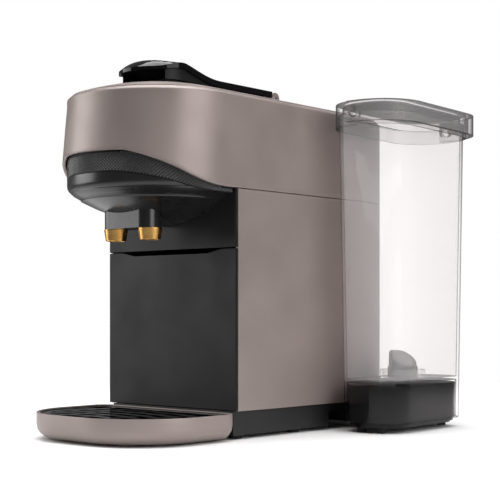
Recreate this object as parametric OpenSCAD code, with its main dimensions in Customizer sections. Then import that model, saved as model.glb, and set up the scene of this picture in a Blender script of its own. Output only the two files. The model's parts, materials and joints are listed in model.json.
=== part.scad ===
// Pod coffee machine with a swivelling side tank, millimetres, +Z up.
// Origin: on the table, on the axis that the tank swivels about. The front faces -Y.

/* [Column and head] */
// Width of the column and of the head above it
body_w = 138; // [116:1:166]
// Distance from the swivel axis to the column's front wall
col_len = 154; // [136:1:186]
// How far the head's straight sides run past the wall before its round nose
nose_run = 11; // [6:1:30]
// Height of the dark base below the shells
base_h = 21; // [20:1:26]
// Height of the parting line between the lower and upper shells
split_z = 184; // [152:1:222]
// Height of the upper shell at the crease, above the parting line
head_h = 67; // [62:1:82]
// Rise of the crowned cover above the crease
crown_h = 13.5; // [11:0.5:17]
// Wall thickness of the moulded shells
wall = 2.6; // [2:0.1:3.2]
// Angle that the head's nose leans forward towards its foot
nose_lean = 5.8; // [2:0.1:7]
// Rise of the upper shell's front edge above the parting line
lip_rise = 23.5; // [18:0.5:28]

/* [Texture band and spouts] */
// Height of the textured band at the nose
band_h = 14.5; // [12:0.5:18]
// Distance between the two spouts
spout_gap = 37; // [34:1:44]
// Outer diameter of a spout at the top
spout_d = 18; // [14:0.5:20]
// Length of a spout below its block
spout_l = 8.6; // [7:0.1:11]
// Height of the spout block
block_h = 16; // [13:1:20]
// How far the spout block hangs below the parting line
block_drop = 29; // [24:1:40]

/* [Lever] */
// Width of the lever
lever_w = 58; // [46:1:70]
// Height of the lever's raised grip above its flat tail
grip_h = 11.2; // [9:0.1:14]
// Thickness of the lever plate
lever_t = 4.5; // [4:0.1:5.4]
// Opening angle of the lever
lever_swing = 80; // [60:1:85]

/* [Drip tray and capsule bin] */
// Width of the drip tray
tray_w = 146; // [130:1:170]
// How far the drip tray stands out in front of the wall
tray_out = 100; // [90:1:120]
// Height of the drip tray's rim
tray_h = 20; // [17:1:21]
// Depth of the capsule bin behind the wall
bin_len = 106; // [90:1:112]
// How far the top of the capsule bin's front is below the shells' parting line
bin_drop = 43.2; // [34:0.1:60]

/* [Water tank] */
// Thickness of the tank, away from the column
tank_w = 61; // [52:1:74]
// Length of the tank at its rim
tank_l = 130; // [104:1:140]
// Height of the tank's rim
tank_rim = 246; // [210:1:280]
// Gap between the column and the tank
tank_gap = 4; // [4:0.5:8]
// How much each end of the tank leans in towards its foot
tank_lean = 6; // [0:0.5:8]
// Angle the tank is turned towards the back from straight beside the column
tank_turn = 3.5; // [0:0.5:10]
// Wall thickness of the clear tank
tank_t = 2.2; // [1.8:0.1:2.8]
// Height of the tank's dock
dock_h = 36.5; // [30:0.5:44]

/* [Hidden] */
$fn = 96;
run = 0.05;               // radial play of a shaft in its bore
gap = 0.3;                // play between pieces that slide past each other
seam = 0.4;               // visible parting gap
cut = 1;                  // overshoot of a cutting shape

R = body_w / 2;
wall_y = -col_len;
nose_c = wall_y - nose_run;          // centre of the nose's half round
head_out = nose_run + R;             // how far the nose stands out in front of the wall
block_z = split_z - block_drop;      // height of the spout block's underside
bin_top = split_z - bin_drop;
crease_z = split_z + head_h;
crown_z = crease_z + crown_h;
lean_z = crease_z - 5;               // the height at which the leaning nose's axis passes its centre
cover_r = R - 3.3;                   // the cover's edge
cover_rim = 2.8;
sag = crown_h - cover_rim;
crown_r = (cover_r * cover_r + sag * sag) / (2 * sag);
cover_t = 3;
panel_t = 2;

foot_h = 3;
hub_r = 26;
ring_t = 8;
arm_z = 5;
arm_h = 8;
arm_w = 40;
arm_bite = 16;                       // how far the arm reaches in under the tank
low_h = base_h - 7;                  // top of the base's lower part
base_in = 4;

band_r = R - wall - 0.2;
band_t = 2.2;
bowl_r = band_r - band_t - 0.2;
bowl_t = 2.4;

block_w = spout_gap + 14;
block_y = wall_y - 38;               // the spouts' line
block_d = 20;
block_r = 9;
duct_r = 5;

deck_z = split_z + 0.3;
deck_t = 3;
deck_in = wall + 0.4;
brew_z = deck_z + 41;                // axis of the brewing chamber
pod_r = 18.5;
travel = 28;                         // the piston's way back
chamber_y = wall_y - 14;
chamber_d = 20;
rod_x = 31;
rod_r = 3;

slot_y = wall_y + 8;
slot_l = 30;
slot_w = 42;

hinge_y = wall_y + 92;
barrel_r = 4.8;
hinge_z = crown_z + 0.4;
barrel_w = 40;
ear_w = 7;
pin_r = 1.8;
plate_z = crown_z + 0.5;
lever_nose = wall_y - 42;
grip_foot = wall_y + 26;             // where the flat tail starts to rise
grip_top = wall_y - 32;

button_y = hinge_y + 34;
button_x = 22;
button_r = 7;

bin_w = body_w - 14;
bin_z = base_h + 0.5;
notch = 3.6;

tank_x = R + tank_gap + tank_w / 2;  // the tank's middle, before it is turned
tank_r = tank_w / 2 - 2.5;
floor_z = dock_h + 2;
floor_t = 2.6;
skirt_z = 8;
dock_in = 0.6;                       // play between the dock and the tank's skirt
collar_r = 18;
intake_r = 12;
lid_t = 2.2;
lid_over = 0.5;
lid_z = tank_rim - 10;
lid_h = 19;
bail_gap = 1.6;
bail_t = 4;
bail_h = 16;
bail_z = lid_z + lid_h - 9;
boss_r = 4;

shell_c = [0.62, 0.57, 0.55];
dark_c = [0.2, 0.2, 0.21];
black_c = [0.07, 0.07, 0.08];
clear_c = [0.85, 0.9, 0.93, 0.35];
brass_c = [0.8, 0.6, 0.3];
steel_c = [0.7, 0.7, 0.72];

// ---------- shared shapes ----------

module slab(z0, z1) {
    translate([0, 0, z0])
        linear_extrude(z1 - z0) children();
}

// a profile in (y, z), drawn out along x
module across(x0, x1) {
    translate([x0, 0, 0])
        rotate([90, 0, 90])
            linear_extrude(x1 - x0) children();
}

// the column's outline seen from above: round at the rear, flat at the front
module column_plan(inset, front) {
    r = R - inset;
    circle(r);
    translate([-r, wall_y + front]) square([2 * r, -wall_y - front]);
}

module round_rect(w, l, r) {
    for (x = [-1, 1], y = [-1, 1])
        translate([x * (w / 2 - r), y * (l / 2 - r)]) circle(r);
    square([w - 2 * r, l], center = true);
    square([w, l - 2 * r], center = true);
}

// a profile in (distance from the middle, z), led round a nose centred at y = centre
module nose_sweep(back, centre) {
    translate([0, centre, 0])
        rotate([0, 0, 180])
            rotate_extrude(angle = 180) children();
    for (s = [0, 1])
        mirror([s, 0, 0])
            translate([0, back, 0])
                rotate([90, 0, 0])
                    linear_extrude(back - centre) children();
}

// the same profile led round the whole head
module head_sweep() {
    nose_sweep(0, nose_c) children();
    rotate_extrude(angle = 180) children();
}

// the head between two heights, with a half-round nose that leans
function lean_y(z) = nose_c + (z - lean_z) * tan(nose_lean);
module head_form(inset, z0, z1) {
    r = R - inset;
    intersection() {
        translate([0, nose_c, lean_z]) rotate([-nose_lean, 0, 0])
            translate([0, 0, -2 * R]) linear_extrude(4 * R) {
                circle(r);
                translate([-r, 0]) square([2 * r, col_len]);
            }
        translate([-R - cut, nose_c - 2 * R, z0]) cube([2 * R + 2 * cut, 2 * R - nose_c, z1 - z0]);
    }
    slab(z0, z1) intersection() {
        circle(r);
        translate([-r, 0]) square([2 * r, r]);
    }
}

// the front edge of the upper shell: level beside the column, then a bend, then a steady climb
bend_r = 80;
bend_a = 26.6;
bend_y = wall_y - 10;
climb_y = bend_y - bend_r * sin(bend_a);
climb_z = bend_r * (1 - cos(bend_a));
function lip_line(drop, rise) = [
    for (a = [0 : bend_a / 8 : bend_a + 0.01])
        [bend_y - bend_r * sin(a), split_z - drop + bend_r * (1 - cos(a)) * rise / lip_rise],
    [wall_y - head_out + 3, split_z - drop + rise],
    [wall_y - head_out - 40, split_z - drop + rise + 1]];

module below_line(drop, rise) {
    polygon(concat(lip_line(drop, rise), [[wall_y - head_out - 40, 0], [cut + R * 2, 0],
        [cut + R * 2, split_z - drop]]));
}

// ---------- base ----------

module base() color(black_c) difference() {
    union() {
        slab(low_h, base_h) column_plan(base_in, 1);
        slab(foot_h, low_h)
            translate([-R + base_in, wall_y + 1]) square([body_w - 2 * base_in, -wall_y - 42]);
    }
    slab(low_h - cut, base_h + cut) circle(7);
    for (p = screw_spots)
        translate([p[0], p[1], foot_h - cut]) cylinder(r = 3.5, h = 4 + cut);
    gland_bore();
}

screw_spots = [[-R + 16, wall_y + 30], [R - 16, wall_y + 30], [-R + 16, wall_y + 98], [R - 16, wall_y + 98]];

module base_screws() color(steel_c)
    for (p = screw_spots)
        translate([p[0], p[1], foot_h + 1]) difference() {
            cylinder(r = 3.5, h = 3);
            translate([-2.5, -0.5, -cut]) cube([5, 1, 1 + cut]);
        }

module swivel_spindle() color(black_c) difference() {
    union() {
        slab(foot_h, low_h) circle(hub_r);
        slab(foot_h, arm_z - gap) circle(hub_r + 3);
    }
    slab(foot_h - cut, low_h + cut) circle(7);
}

module feet() color(black_c) {
    cylinder(r = hub_r - 2, h = foot_h);
    for (x = [-1, 1], y = [14, 80])
        translate([x * (R - 14), wall_y + y, 0]) cylinder(r = 5, h = foot_h);
}

gland_y = wall_y + 60;
gland_z = 8.5;
module gland_bore() {
    translate([-R + base_in - cut, gland_y, gland_z])
        rotate([0, 90, 0]) cylinder(r = 4, h = 14 + cut);
}

module cord_gland() color(black_c)
    translate([-R + base_in - 2, gland_y, gland_z])
        rotate([0, 90, 0]) difference() {
            union() {
                cylinder(r = 4, h = 14);
                cylinder(r = 5.2, h = 2);
            }
            translate([0, 0, -cut]) cylinder(r = 2.9, h = 14 + 2 * cut);
        }

// ---------- shells ----------

module lower_shell() color(shell_c) difference() {
    slab(base_h, split_z - seam) column_plan(0, panel_t + 0.2);
    slab(base_h - cut, split_z + cut) column_plan(wall, -cut);
}

module upper_shell() color(shell_c) difference() {
    union() {
        difference() {
            head_form(0, split_z, crease_z);
            head_form(wall, split_z - cut, crease_z + cut);
        }
        head_sweep()
            polygon([[R - 1.2, crease_z - 6.4], [R - 1.2, crease_z - 0.5], [R - 0.5, crease_z], [R - 0.3, crease_z],
                [R - 3, crease_z + 2.6], [R - 3, crease_z], [R - 7, crease_z], [R - 7, crease_z - 2.5],
                [R - wall, crease_z - 5]]);
    }
    across(-R - cut, R + cut)
        difference() {
            below_line(0, lip_rise);
            translate([bend_y, 0]) square([col_len + 3 * R, split_z + cut]);
        }
}

module crown(drop) {
    intersection() {
        translate([0, crown_z - crown_r]) circle(crown_r - drop);
        translate([0, crease_z]) square([cover_r, crown_h + cut]);
    }
}

module top_cover() color(shell_c) difference() {
    union() {
        difference() {
            head_sweep() crown(0);
            head_sweep()
                intersection() {
                    crown(cover_t);
                    translate([0, crease_z - cut]) square([cover_r - 2.4, crown_h]);
                }
        }
        for (s = [-1, 1])
            translate([s * (barrel_w / 2 + gap + ear_w / 2), 0, 0]) {
                translate([-ear_w / 2, hinge_y, hinge_z])
                    rotate([0, 90, 0]) cylinder(r = barrel_r, h = ear_w);
                translate([-ear_w / 2, hinge_y - barrel_r, crown_z - cover_t])
                    cube([ear_w, 2 * barrel_r, cover_t + 0.4]);
            }
    }
    translate([-slot_w / 2, slot_y, crease_z - cut]) cube([slot_w, slot_l, crown_h + 3 * cut]);
    translate([-barrel_w / 2 - gap, hinge_y, hinge_z])
        rotate([0, 90, 0]) cylinder(r = barrel_r + gap, h = barrel_w + 2 * gap);
    translate([-R, hinge_y, hinge_z])
        rotate([0, 90, 0]) cylinder(r = pin_r, h = body_w);
    for (x = [-1, 0, 1])
        translate([x * button_x, button_y, crease_z]) cylinder(r = button_r + gap, h = crown_h + cut);
}

module front_panel() color(dark_c) {
    w = R - 0.5;
    translate([-w, wall_y, bin_top]) cube([2 * w, panel_t, split_z - seam - bin_top]);
    for (s = [-1, 1])
        translate([s * (R - wall - 3) - 1, wall_y + panel_t, bin_top]) cube([2, 8, split_z - seam - bin_top]);
}

// the band and the bowl stand upright, set forward to stay close inside the leaning shell
band_c = nose_c - (lean_z - split_z - lip_rise - 6) * tan(nose_lean);
module texture_band() color(dark_c) intersection() {
    nose_sweep(wall_y, band_c)
        translate([band_r - band_t, split_z - 10]) square([band_t, 60]);
    across(-R, R)
        difference() {
            below_line(-6, lip_rise);
            below_line(4, lip_rise + 4 - band_h);
            translate([wall_y, 0]) square([col_len, 400]);
        }
}

bowl_top = split_z + 14;
rim_r = band_r + 0.3;
bowl_line = [[0, block_z + 3], [12, block_z + 5.3], [22, block_z + 8], [33, block_z + 11.3],
    [44, block_z + 15.3], [rim_r - 12.5, block_z + 20], [rim_r - 10.5, block_z + 21],
    [rim_r - 9.9, block_z + 22], [rim_r - 4.5, block_z + 25.2], [bowl_r, block_z + 26.8]];
rim_line = [[bowl_r - 0.4, block_z + 26.9], [rim_r - 1.3, block_z + 28.2], [rim_r - 0.3, block_z + 30],
    [rim_r, block_z + 32]];

module bowl_profile(up) {
    polygon(concat([for (p = bowl_line) [max(0, p[0] - up / 2), p[1] + up]],
        [[bowl_r - up, bowl_top + up], [0, bowl_top + up]]));
}

module head_underside() color(dark_c) difference() {
    union() {
        difference() {
            nose_sweep(wall_y, band_c) bowl_profile(0);
            nose_sweep(wall_y + cut, band_c) bowl_profile(bowl_t);
        }
        // the bowl's rim, which ends just below the textured band
        intersection() {
            nose_sweep(wall_y, band_c)
                polygon(concat([[bowl_r - 1.2, bowl_top - 2], [bowl_r - 1.2, block_z + 26.9]], rim_line,
                    [[rim_r, bowl_top - 2]]));
            across(-R, R) below_line(4.4, lip_rise + 4 - band_h);
        }
    }
    translate([0, block_y, block_z]) cylinder(r = duct_r + gap, h = 60);
}

module spout_block() color(dark_c) difference() {
    translate([0, block_y, block_z])
        linear_extrude(block_h + 8) round_rect(block_w, block_d, block_r);
    nose_sweep(wall_y, band_c) bowl_profile(0);
    translate([0, block_y, block_z + 3]) cylinder(r = duct_r + gap, h = block_h + 8);
    translate([-spout_gap / 2, block_y - 2, block_z + 3]) cube([spout_gap, 4, 4]);
    for (s = [-1, 1])
        translate([s * spout_gap / 2, block_y, block_z - cut]) cylinder(r = 2.5, h = 8 + cut);
}

module spout(s) color(brass_c)
    translate([s * spout_gap / 2, block_y, block_z - spout_l]) difference() {
        cylinder(r1 = spout_d / 2 - 1.4, r2 = spout_d / 2, h = spout_l);
        translate([0, 0, -cut]) cylinder(r = spout_d / 2 - 2.8, h = spout_l - 1.5 + cut);
        translate([0, 0, -cut]) cylinder(r = 2.5, h = spout_l + 2 * cut);
    }

module spout_left() spout(-1);
module spout_right() spout(1);

// ---------- inside ----------

bulk_y = wall_y + panel_t + bin_len + 2;
bulk_t = 3;
module bulkhead() color(dark_c) difference() {
    w = R - wall - gap;
    translate([-w, bulk_y, base_h]) cube([2 * w, bulk_t, split_z - base_h]);
    translate([20, bulk_y - cut, base_h + 20])
        rotate([-90, 0, 0]) cylinder(r = 6, h = bulk_t + 2 * cut);
}

module mid_deck() color(dark_c) difference() {
    slab(deck_z, deck_z + deck_t) column_plan(deck_in, panel_t);
    translate([-slot_w / 2, slot_y, deck_z - cut]) cube([slot_w, slot_l, deck_t + 2 * cut]);
    translate([outlet_x, heater_y, deck_z - cut]) cylinder(r = hose_r + 1, h = deck_t + 2 * cut);
    for (p = deck_spots)
        translate([p[0], p[1], deck_z - cut]) cylinder(r = 1.5, h = deck_t + 2 * cut);
}

deck_spots = [[-R + 14, wall_y + 70], [R - 14, wall_y + 70], [-30, 30], [30, 30]];
module deck_screws() color(steel_c)
    for (p = deck_spots)
        translate([p[0], p[1], deck_z + deck_t]) {
            cylinder(r = 3, h = 2);
            translate([0, 0, -deck_t - 4]) cylinder(r = 1.5, h = deck_t + 4);
        }

module brew_chamber() color(dark_c) difference() {
    union() {
        translate([-rod_x - 6, chamber_y, deck_z + deck_t])
            cube([2 * rod_x + 12, chamber_d, brew_z - deck_z - deck_t + pod_r + 4]);
    }
    translate([0, chamber_y + 8, brew_z]) rotate([-90, 0, 0]) cylinder(r = pod_r + 0.5, h = chamber_d);
    translate([0, chamber_y - cut, brew_z]) rotate([-90, 0, 0]) cylinder(r = 3, h = chamber_d);
    for (s = [-1, 1])
        translate([s * rod_x, chamber_y + 4, brew_z]) rotate([-90, 0, 0]) cylinder(r = rod_r, h = chamber_d);
    // clear of the front of the lower edge, where the deck stops
    translate([-R, chamber_y - cut, 0]) cube([body_w, wall_y + panel_t - chamber_y + cut, brew_z - pod_r - 4]);
}

module needle_plate() color(steel_c)
    translate([0, chamber_y + 8, brew_z]) rotate([-90, 0, 0]) difference() {
        union() {
            cylinder(r = pod_r, h = 1.5);
            for (a = [0 : 60 : 300])
                rotate([0, 0, a]) translate([9, 0, 1.5]) cylinder(r1 = 1.6, r2 = 0.4, h = 3);
        }
        translate([0, 0, -cut]) cylinder(r = 3, h = 1.5 + 2 * cut);
    }

module coffee_duct() color(dark_c) difference() {
    union() {
        translate([0, block_y, block_z + 4]) cylinder(r = duct_r, h = brew_z - block_z + 2);
        translate([-8, block_y - 8, brew_z - 8]) cube([16, chamber_y - block_y + 8, 16]);
    }
    translate([0, block_y, block_z + 4 - cut]) cylinder(r = 3, h = brew_z - block_z - 4 + cut);
    translate([0, block_y, brew_z - 1]) rotate([-90, 0, 0]) cylinder(r = 2.4, h = chamber_y - block_y + cut);
}

bracket_y = hinge_y - 2;
module guide_rods() color(steel_c)
    for (s = [-1, 1])
        translate([s * rod_x, chamber_y + 4, brew_z])
            rotate([-90, 0, 0]) cylinder(r = rod_r, h = bracket_y + 6 - chamber_y - 4);

module rod_bracket() color(dark_c) difference() {
    union() {
        translate([-rod_x - 6, bracket_y, deck_z + deck_t])
            cube([2 * rod_x + 12, 8, brew_z - deck_z - deck_t + 8]);
        translate([-6, bracket_y, brew_z - 6]) cube([outlet_x + 12, 16, 12]);
    }
    translate([0, bracket_y - cut, brew_z]) rotate([-90, 0, 0]) cylinder(r = tube_r, h = 8 + cut);
    for (s = [-1, 1])
        translate([s * rod_x, bracket_y - cut, brew_z]) rotate([-90, 0, 0]) cylinder(r = rod_r, h = 7 + cut);
    translate([-16, bracket_y - cut, deck_z + deck_t + 10]) cube([32, 8 + 2 * cut, 18]);
}

hose_r = 3;
stub_r = 4;
stub_l = 8;
meter_z = base_h + 14;
meter_l = 16;
low_stub = meter_z + meter_l + stub_l + 25;     // foot of the pump and of the heater
pump_x = -24;
pump_y = 14;
pump_l = split_z - low_stub - 36;
module pump() color(steel_c) translate([pump_x, pump_y, low_stub]) difference() {
    union() {
        cylinder(r = stub_r, h = pump_l + 2 * stub_l);
        translate([0, 0, stub_l]) cylinder(r = 8, h = pump_l);
        translate([-17, -20, stub_l + 14]) cube([34, 40, pump_l - 30]);
    }
    translate([0, 0, -cut]) cylinder(r = 2, h = pump_l + 2 * stub_l + 2 * cut);
}

module pump_dampers() color(black_c)
    for (z = [stub_l + 3, stub_l + pump_l - 10])
        translate([pump_x, pump_y, low_stub + z]) difference() {
            cylinder(r = 13, h = 7);
            translate([0, 0, -cut]) cylinder(r = 8, h = 7 + 2 * cut);
        }

block_x = 24;
heater_y = 8;
heater_r = 21;
outlet_x = 8;                        // the heater's outlet stands right below its hose
heater_l = split_z - low_stub - 40;
module thermoblock() color(steel_c) translate([block_x, heater_y, low_stub]) difference() {
    union() {
        cylinder(r = stub_r, h = stub_l);
        translate([0, 0, stub_l]) cylinder(r = heater_r, h = heater_l);
        translate([outlet_x - block_x, 0, stub_l]) cylinder(r = stub_r, h = heater_l + stub_l);
        translate([-12, 12, stub_l + 6]) cube([24, 14, heater_l - 12]);
    }
    for (z = [8 : 9 : heater_l - 8])
        translate([0, 0, stub_l + z]) difference() {
            cylinder(r = heater_r + 1, h = 3);
            cylinder(r = heater_r - 2.5, h = 3);
        }
}

module flow_meter() color(dark_c) translate([0, 0, meter_z]) {
    cylinder(r = 14, h = meter_l);
    translate([0, 0, -stub_l]) cylinder(r = stub_r, h = meter_l + 2 * stub_l);
}

board_low = base_h + 41;
board_h = split_z - board_low - 22;
module circuit_board() color([0.1, 0.35, 0.2]) {
    face = bulk_y + bulk_t + 6.6;
    translate([-R + 12, bulk_y + bulk_t + 5, board_low]) cube([70, 1.6, board_h]);
    for (x = [-R + 16, -R + 74], z = [board_low + 4, board_low + board_h - 6])
        translate([x, bulk_y + bulk_t, z]) rotate([-90, 0, 0]) cylinder(r = 2.5, h = 5);
    translate([-R + 24, face, board_low + 10]) cube([16, 10, 20]);
    translate([-R + 50, face, board_low + 0.58 * board_h]) cube([12, 8, 12]);
    translate([-R + 28, face, board_low + 0.68 * board_h]) rotate([-90, 0, 0]) cylinder(r = 5, h = 12);
}

// from the swivel hub to the flow meter, and from there over the top into the pump
suction_a = atan2(pump_y, pump_x);
suction_r = norm([pump_x, pump_y]) / 2;
pump_top = low_stub + pump_l + 2 * stub_l;
module suction_hose() color([0.8, 0.8, 0.8]) {
    translate([0, 0, foot_h]) cylinder(r = hose_r, h = meter_z - stub_l - foot_h);
    translate([0, 0, meter_z + meter_l + stub_l])
        cylinder(r = hose_r, h = pump_top - meter_z - meter_l - stub_l);
    rotate([0, 0, suction_a]) translate([suction_r, 0, pump_top])
        rotate([90, 0, 0]) rotate_extrude(angle = 180) translate([suction_r, 0]) circle(hose_r);
}

// from the pump under to the heater, and from the heater up through the deck to the bracket
link_a = atan2(heater_y - pump_y, block_x - pump_x);
link_r = norm([block_x - pump_x, heater_y - pump_y]) / 2;
heater_top = low_stub + heater_l + 2 * stub_l;
elbow_r = 10;
module pressure_hose() color([0.8, 0.8, 0.8]) {
    translate([pump_x, pump_y, low_stub])
        rotate([0, 0, link_a]) translate([link_r, 0, 0])
            rotate([-90, 0, 0]) rotate_extrude(angle = 180) translate([link_r, 0]) circle(hose_r);
    translate([outlet_x, heater_y, heater_top]) cylinder(r = hose_r, h = brew_z - elbow_r - heater_top);
    translate([outlet_x, heater_y - elbow_r, brew_z - elbow_r])
        rotate([90, 0, 90]) rotate_extrude(angle = 90) translate([elbow_r, 0]) circle(hose_r);
    translate([outlet_x, bracket_y + 16, brew_z])
        rotate([-90, 0, 0]) cylinder(r = hose_r, h = heater_y - elbow_r - bracket_y - 16);
}

// the fixed tube that the sliding piston takes its water from
tube_r = 2;
module water_tube() color(steel_c)
    translate([0, wall_y + 34, brew_z])
        rotate([-90, 0, 0]) cylinder(r = tube_r, h = bracket_y + 8 - wall_y - 34);

module hinge_pin() color(steel_c)
    translate([-barrel_w / 2 - gap - ear_w, hinge_y, hinge_z])
        rotate([0, 90, 0]) cylinder(r = pin_r, h = barrel_w + 2 * gap + 2 * ear_w);

board_z = crease_z - 3;
module button_board() color([0.1, 0.35, 0.2]) {
    translate([-40, button_y - 12, board_z]) cube([80, 24, 1.6]);
    for (x = [-1, 0, 1])
        translate([x * button_x, button_y, board_z + 1.6]) cylinder(r = 3, h = 2.5);
    for (x = [-1, 1])
        translate([x * 36, button_y, deck_z + deck_t]) cylinder(r = 3, h = board_z - deck_z - deck_t);
}

// ---------- lever ----------

function grip_rise(y) = y > grip_foot ? 0 : y < grip_top ? grip_h
    : grip_h * (1 - cos(180 * (grip_foot - y) / (grip_foot - grip_top))) / 2;
grip_steps = 24;
grip_ys = [for (i = [0 : grip_steps]) grip_foot - (grip_foot - grip_top) * i / grip_steps];

module lever_profile(up, down) {
    polygon(concat([[hinge_y, plate_z + up]], [for (y = grip_ys) [y, plate_z + up + grip_rise(y)]],
        [[lever_nose - cut, plate_z + up + grip_h], [lever_nose - cut, plate_z + down + grip_h]],
        [for (i = [grip_steps : -1 : 0]) [grip_ys[i], plate_z + down + grip_rise(grip_ys[i])]],
        [[hinge_y, plate_z + down]]));
}

module lever_plan(inset) {
    r = lever_w / 2;
    translate([0, lever_nose + r]) circle(r - inset);
    translate([-r + inset, lever_nose + r])
        square([lever_w - 2 * inset, hinge_y - barrel_r - 1 - lever_nose - r]);
}

module lever_plate() color(black_c) {
    intersection() {
        across(-lever_w, lever_w) lever_profile(lever_t, 0);
        slab(0, crown_z * 2) lever_plan(0);
    }
    difference() {
        union() {
            translate([-barrel_w / 2, hinge_y, hinge_z])
                rotate([0, 90, 0]) cylinder(r = barrel_r, h = barrel_w);
            translate([-barrel_w / 2, hinge_y - barrel_r - 1, plate_z])
                cube([barrel_w, barrel_r + 1, lever_t - 0.2]);
        }
        translate([-barrel_w, hinge_y, hinge_z])
            rotate([0, 90, 0]) cylinder(r = pin_r + run, h = 2 * barrel_w);
    }
}

module lever_liner() color(black_c) difference() {
    intersection() {
        across(-lever_w, lever_w)
            polygon(concat([for (y = grip_ys) [y, plate_z + grip_rise(y)]],
                [[lever_nose, plate_z + grip_h], [lever_nose, plate_z], [grip_foot, plate_z]]));
        slab(0, crown_z * 2) lever_plan(2);
    }
    intersection() {
        across(-lever_w / 2 + 6, lever_w / 2 - 6)
            polygon([[lever_nose - cut, plate_z - cut], [lever_nose - cut, plate_z + grip_h - 1.5],
                [lever_nose + 18, plate_z + grip_h - 1.5], [lever_nose + 34, plate_z + 5],
                [lever_nose + 34, plate_z - cut]]);
        slab(0, crown_z * 2) translate([-lever_w, lever_nose - cut]) square([2 * lever_w, 36]);
    }
}

// ---------- brewing piston ----------

module brew_piston() color(dark_c) difference() {
    union() {
        translate([0, wall_y + 9, brew_z]) rotate([-90, 0, 0]) cylinder(r = pod_r - 0.5, h = 22);
        translate([-rod_x - 7, wall_y + 24, brew_z - 9]) cube([2 * rod_x + 14, 12, 18]);
    }
    for (s = [-1, 1])
        translate([s * rod_x, wall_y, brew_z]) rotate([-90, 0, 0]) cylinder(r = rod_r + run, h = 60);
    translate([0, wall_y + 8, brew_z]) rotate([-90, 0, 0]) cylinder(r = tube_r + run, h = 40);
    translate([0, wall_y + 8, brew_z]) rotate([-90, 0, 0]) cylinder(r = 12, h = 5);
    piston_groove(pod_r - 2.5);
}

module piston_groove(r)
    translate([0, wall_y + 14, brew_z]) rotate([-90, 0, 0]) difference() {
        cylinder(r = pod_r + cut, h = 3);
        cylinder(r = r, h = 3);
    }

module piston_seal() color(black_c)
    translate([0, wall_y + 14, brew_z]) rotate([-90, 0, 0]) difference() {
        cylinder(r = pod_r - 0.1, h = 3);
        cylinder(r = pod_r - 2.5, h = 3);
    }

// ---------- buttons ----------

button_top = crown_z + 0.6;
module button(x) color(black_c) translate([x, button_y, 0]) {
    slab(crease_z + 3.2, button_top - (x == 0 ? 0 : 1.4)) circle(button_r);
    slab(crease_z + 3.2, crease_z + 4.8) circle(button_r + 2);
}

module button_short() button(-button_x);
module button_long() button(0);
module button_double() button(button_x);

// ---------- drip tray ----------

tray_back = wall_y - 1;
tray_front = wall_y - tray_out;
tray_round = 10;
nose_r = 58;
heel_r = 12;
tray_z = 1.5;
tray_t = 2.4;
rim_t = 2.4;

module tray_plan(inset) {
    for (s = [-1, 1]) {
        // only the front half of the big circle, which would reach past the tray's back
        translate([s * (tray_w / 2 - nose_r), tray_front + nose_r]) intersection() {
            circle(nose_r - inset);
            translate([-nose_r, -nose_r]) square([2 * nose_r, nose_r]);
        }
        translate([s * (tray_w / 2 - heel_r), tray_back - heel_r]) circle(heel_r - inset);
    }
    translate([-tray_w / 2 + nose_r, tray_front + inset])
        square([tray_w - 2 * nose_r, tray_out - 1 - 2 * inset]);
    translate([-tray_w / 2 + heel_r, tray_front + nose_r])
        square([tray_w - 2 * heel_r, tray_out - 1 - nose_r - inset]);
    translate([-tray_w / 2 + inset, tray_front + nose_r])
        square([tray_w - 2 * inset, tray_out - 1 - nose_r - heel_r]);
}

// a rounded lower edge, in four bevels, led round the tray's outline
module edge_profile(rc) {
    polygon(concat([[0, tray_h - tray_z], [0, 0]],
        [for (a = [0 : 22.5 : 90]) [rc - tray_round * (1 - sin(a)), tray_round * (1 - cos(a))]],
        [[rc, tray_h - tray_z]]));
}

module tray_solid() translate([0, 0, tray_z]) {
    for (s = [-1, 1]) {
        translate([s * (tray_w / 2 - nose_r), tray_front + nose_r, 0])
            rotate([0, 0, s > 0 ? -90 : 180]) rotate_extrude(angle = 90) edge_profile(nose_r);
        translate([s * (tray_w / 2 - heel_r), tray_back - heel_r, 0])
            rotate([0, 0, s > 0 ? 0 : 90]) rotate_extrude(angle = 90) edge_profile(heel_r);
    }
    for (s = [0, 1])
        mirror([s, 0, 0]) translate([tray_w / 2 - nose_r, tray_back - heel_r, 0])
            rotate([90, 0, 0]) linear_extrude(tray_out - 1 - nose_r - heel_r) edge_profile(nose_r);
    translate([tray_w / 2 - nose_r, tray_front + nose_r, 0])
        rotate([90, 0, -90]) linear_extrude(tray_w - 2 * nose_r) edge_profile(nose_r);
    translate([-tray_w / 2 + heel_r, tray_front + nose_r, 0])
        cube([tray_w - 2 * heel_r, tray_out - 1 - nose_r, tray_h - tray_z]);
}

module tray_shell() color(shell_c) {
    difference() {
        tray_solid();
        slab(tray_z + tray_t, tray_h + cut) tray_plan(ledge_in);
        slab(ledge_z, tray_h + cut) tray_plan(rim_t);
    }
    for (x = [-1, 1], y = [-1, 1])
        translate([x * 34, tray_front + tray_out / 2 + y * 26, 0]) cylinder(r = 4, h = tray_z);
}

ledge_z = tray_z + tray_round;
ledge_in = rim_t + tray_round * 0.55;
liner_t = 1.6;
liner_z = tray_z + tray_t + 0.1;
module tray_liner() color(black_c) difference() {
    union() {
        slab(liner_z, ledge_z) tray_plan(ledge_in + 0.2);
        slab(ledge_z, tray_h - 0.6) tray_plan(rim_t + 0.2);
    }
    slab(liner_z + liner_t, tray_h) tray_plan(ledge_in + 0.2 + liner_t);
    slab(ledge_z + liner_t, tray_h) tray_plan(rim_t + 0.2 + liner_t);
}

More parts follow.
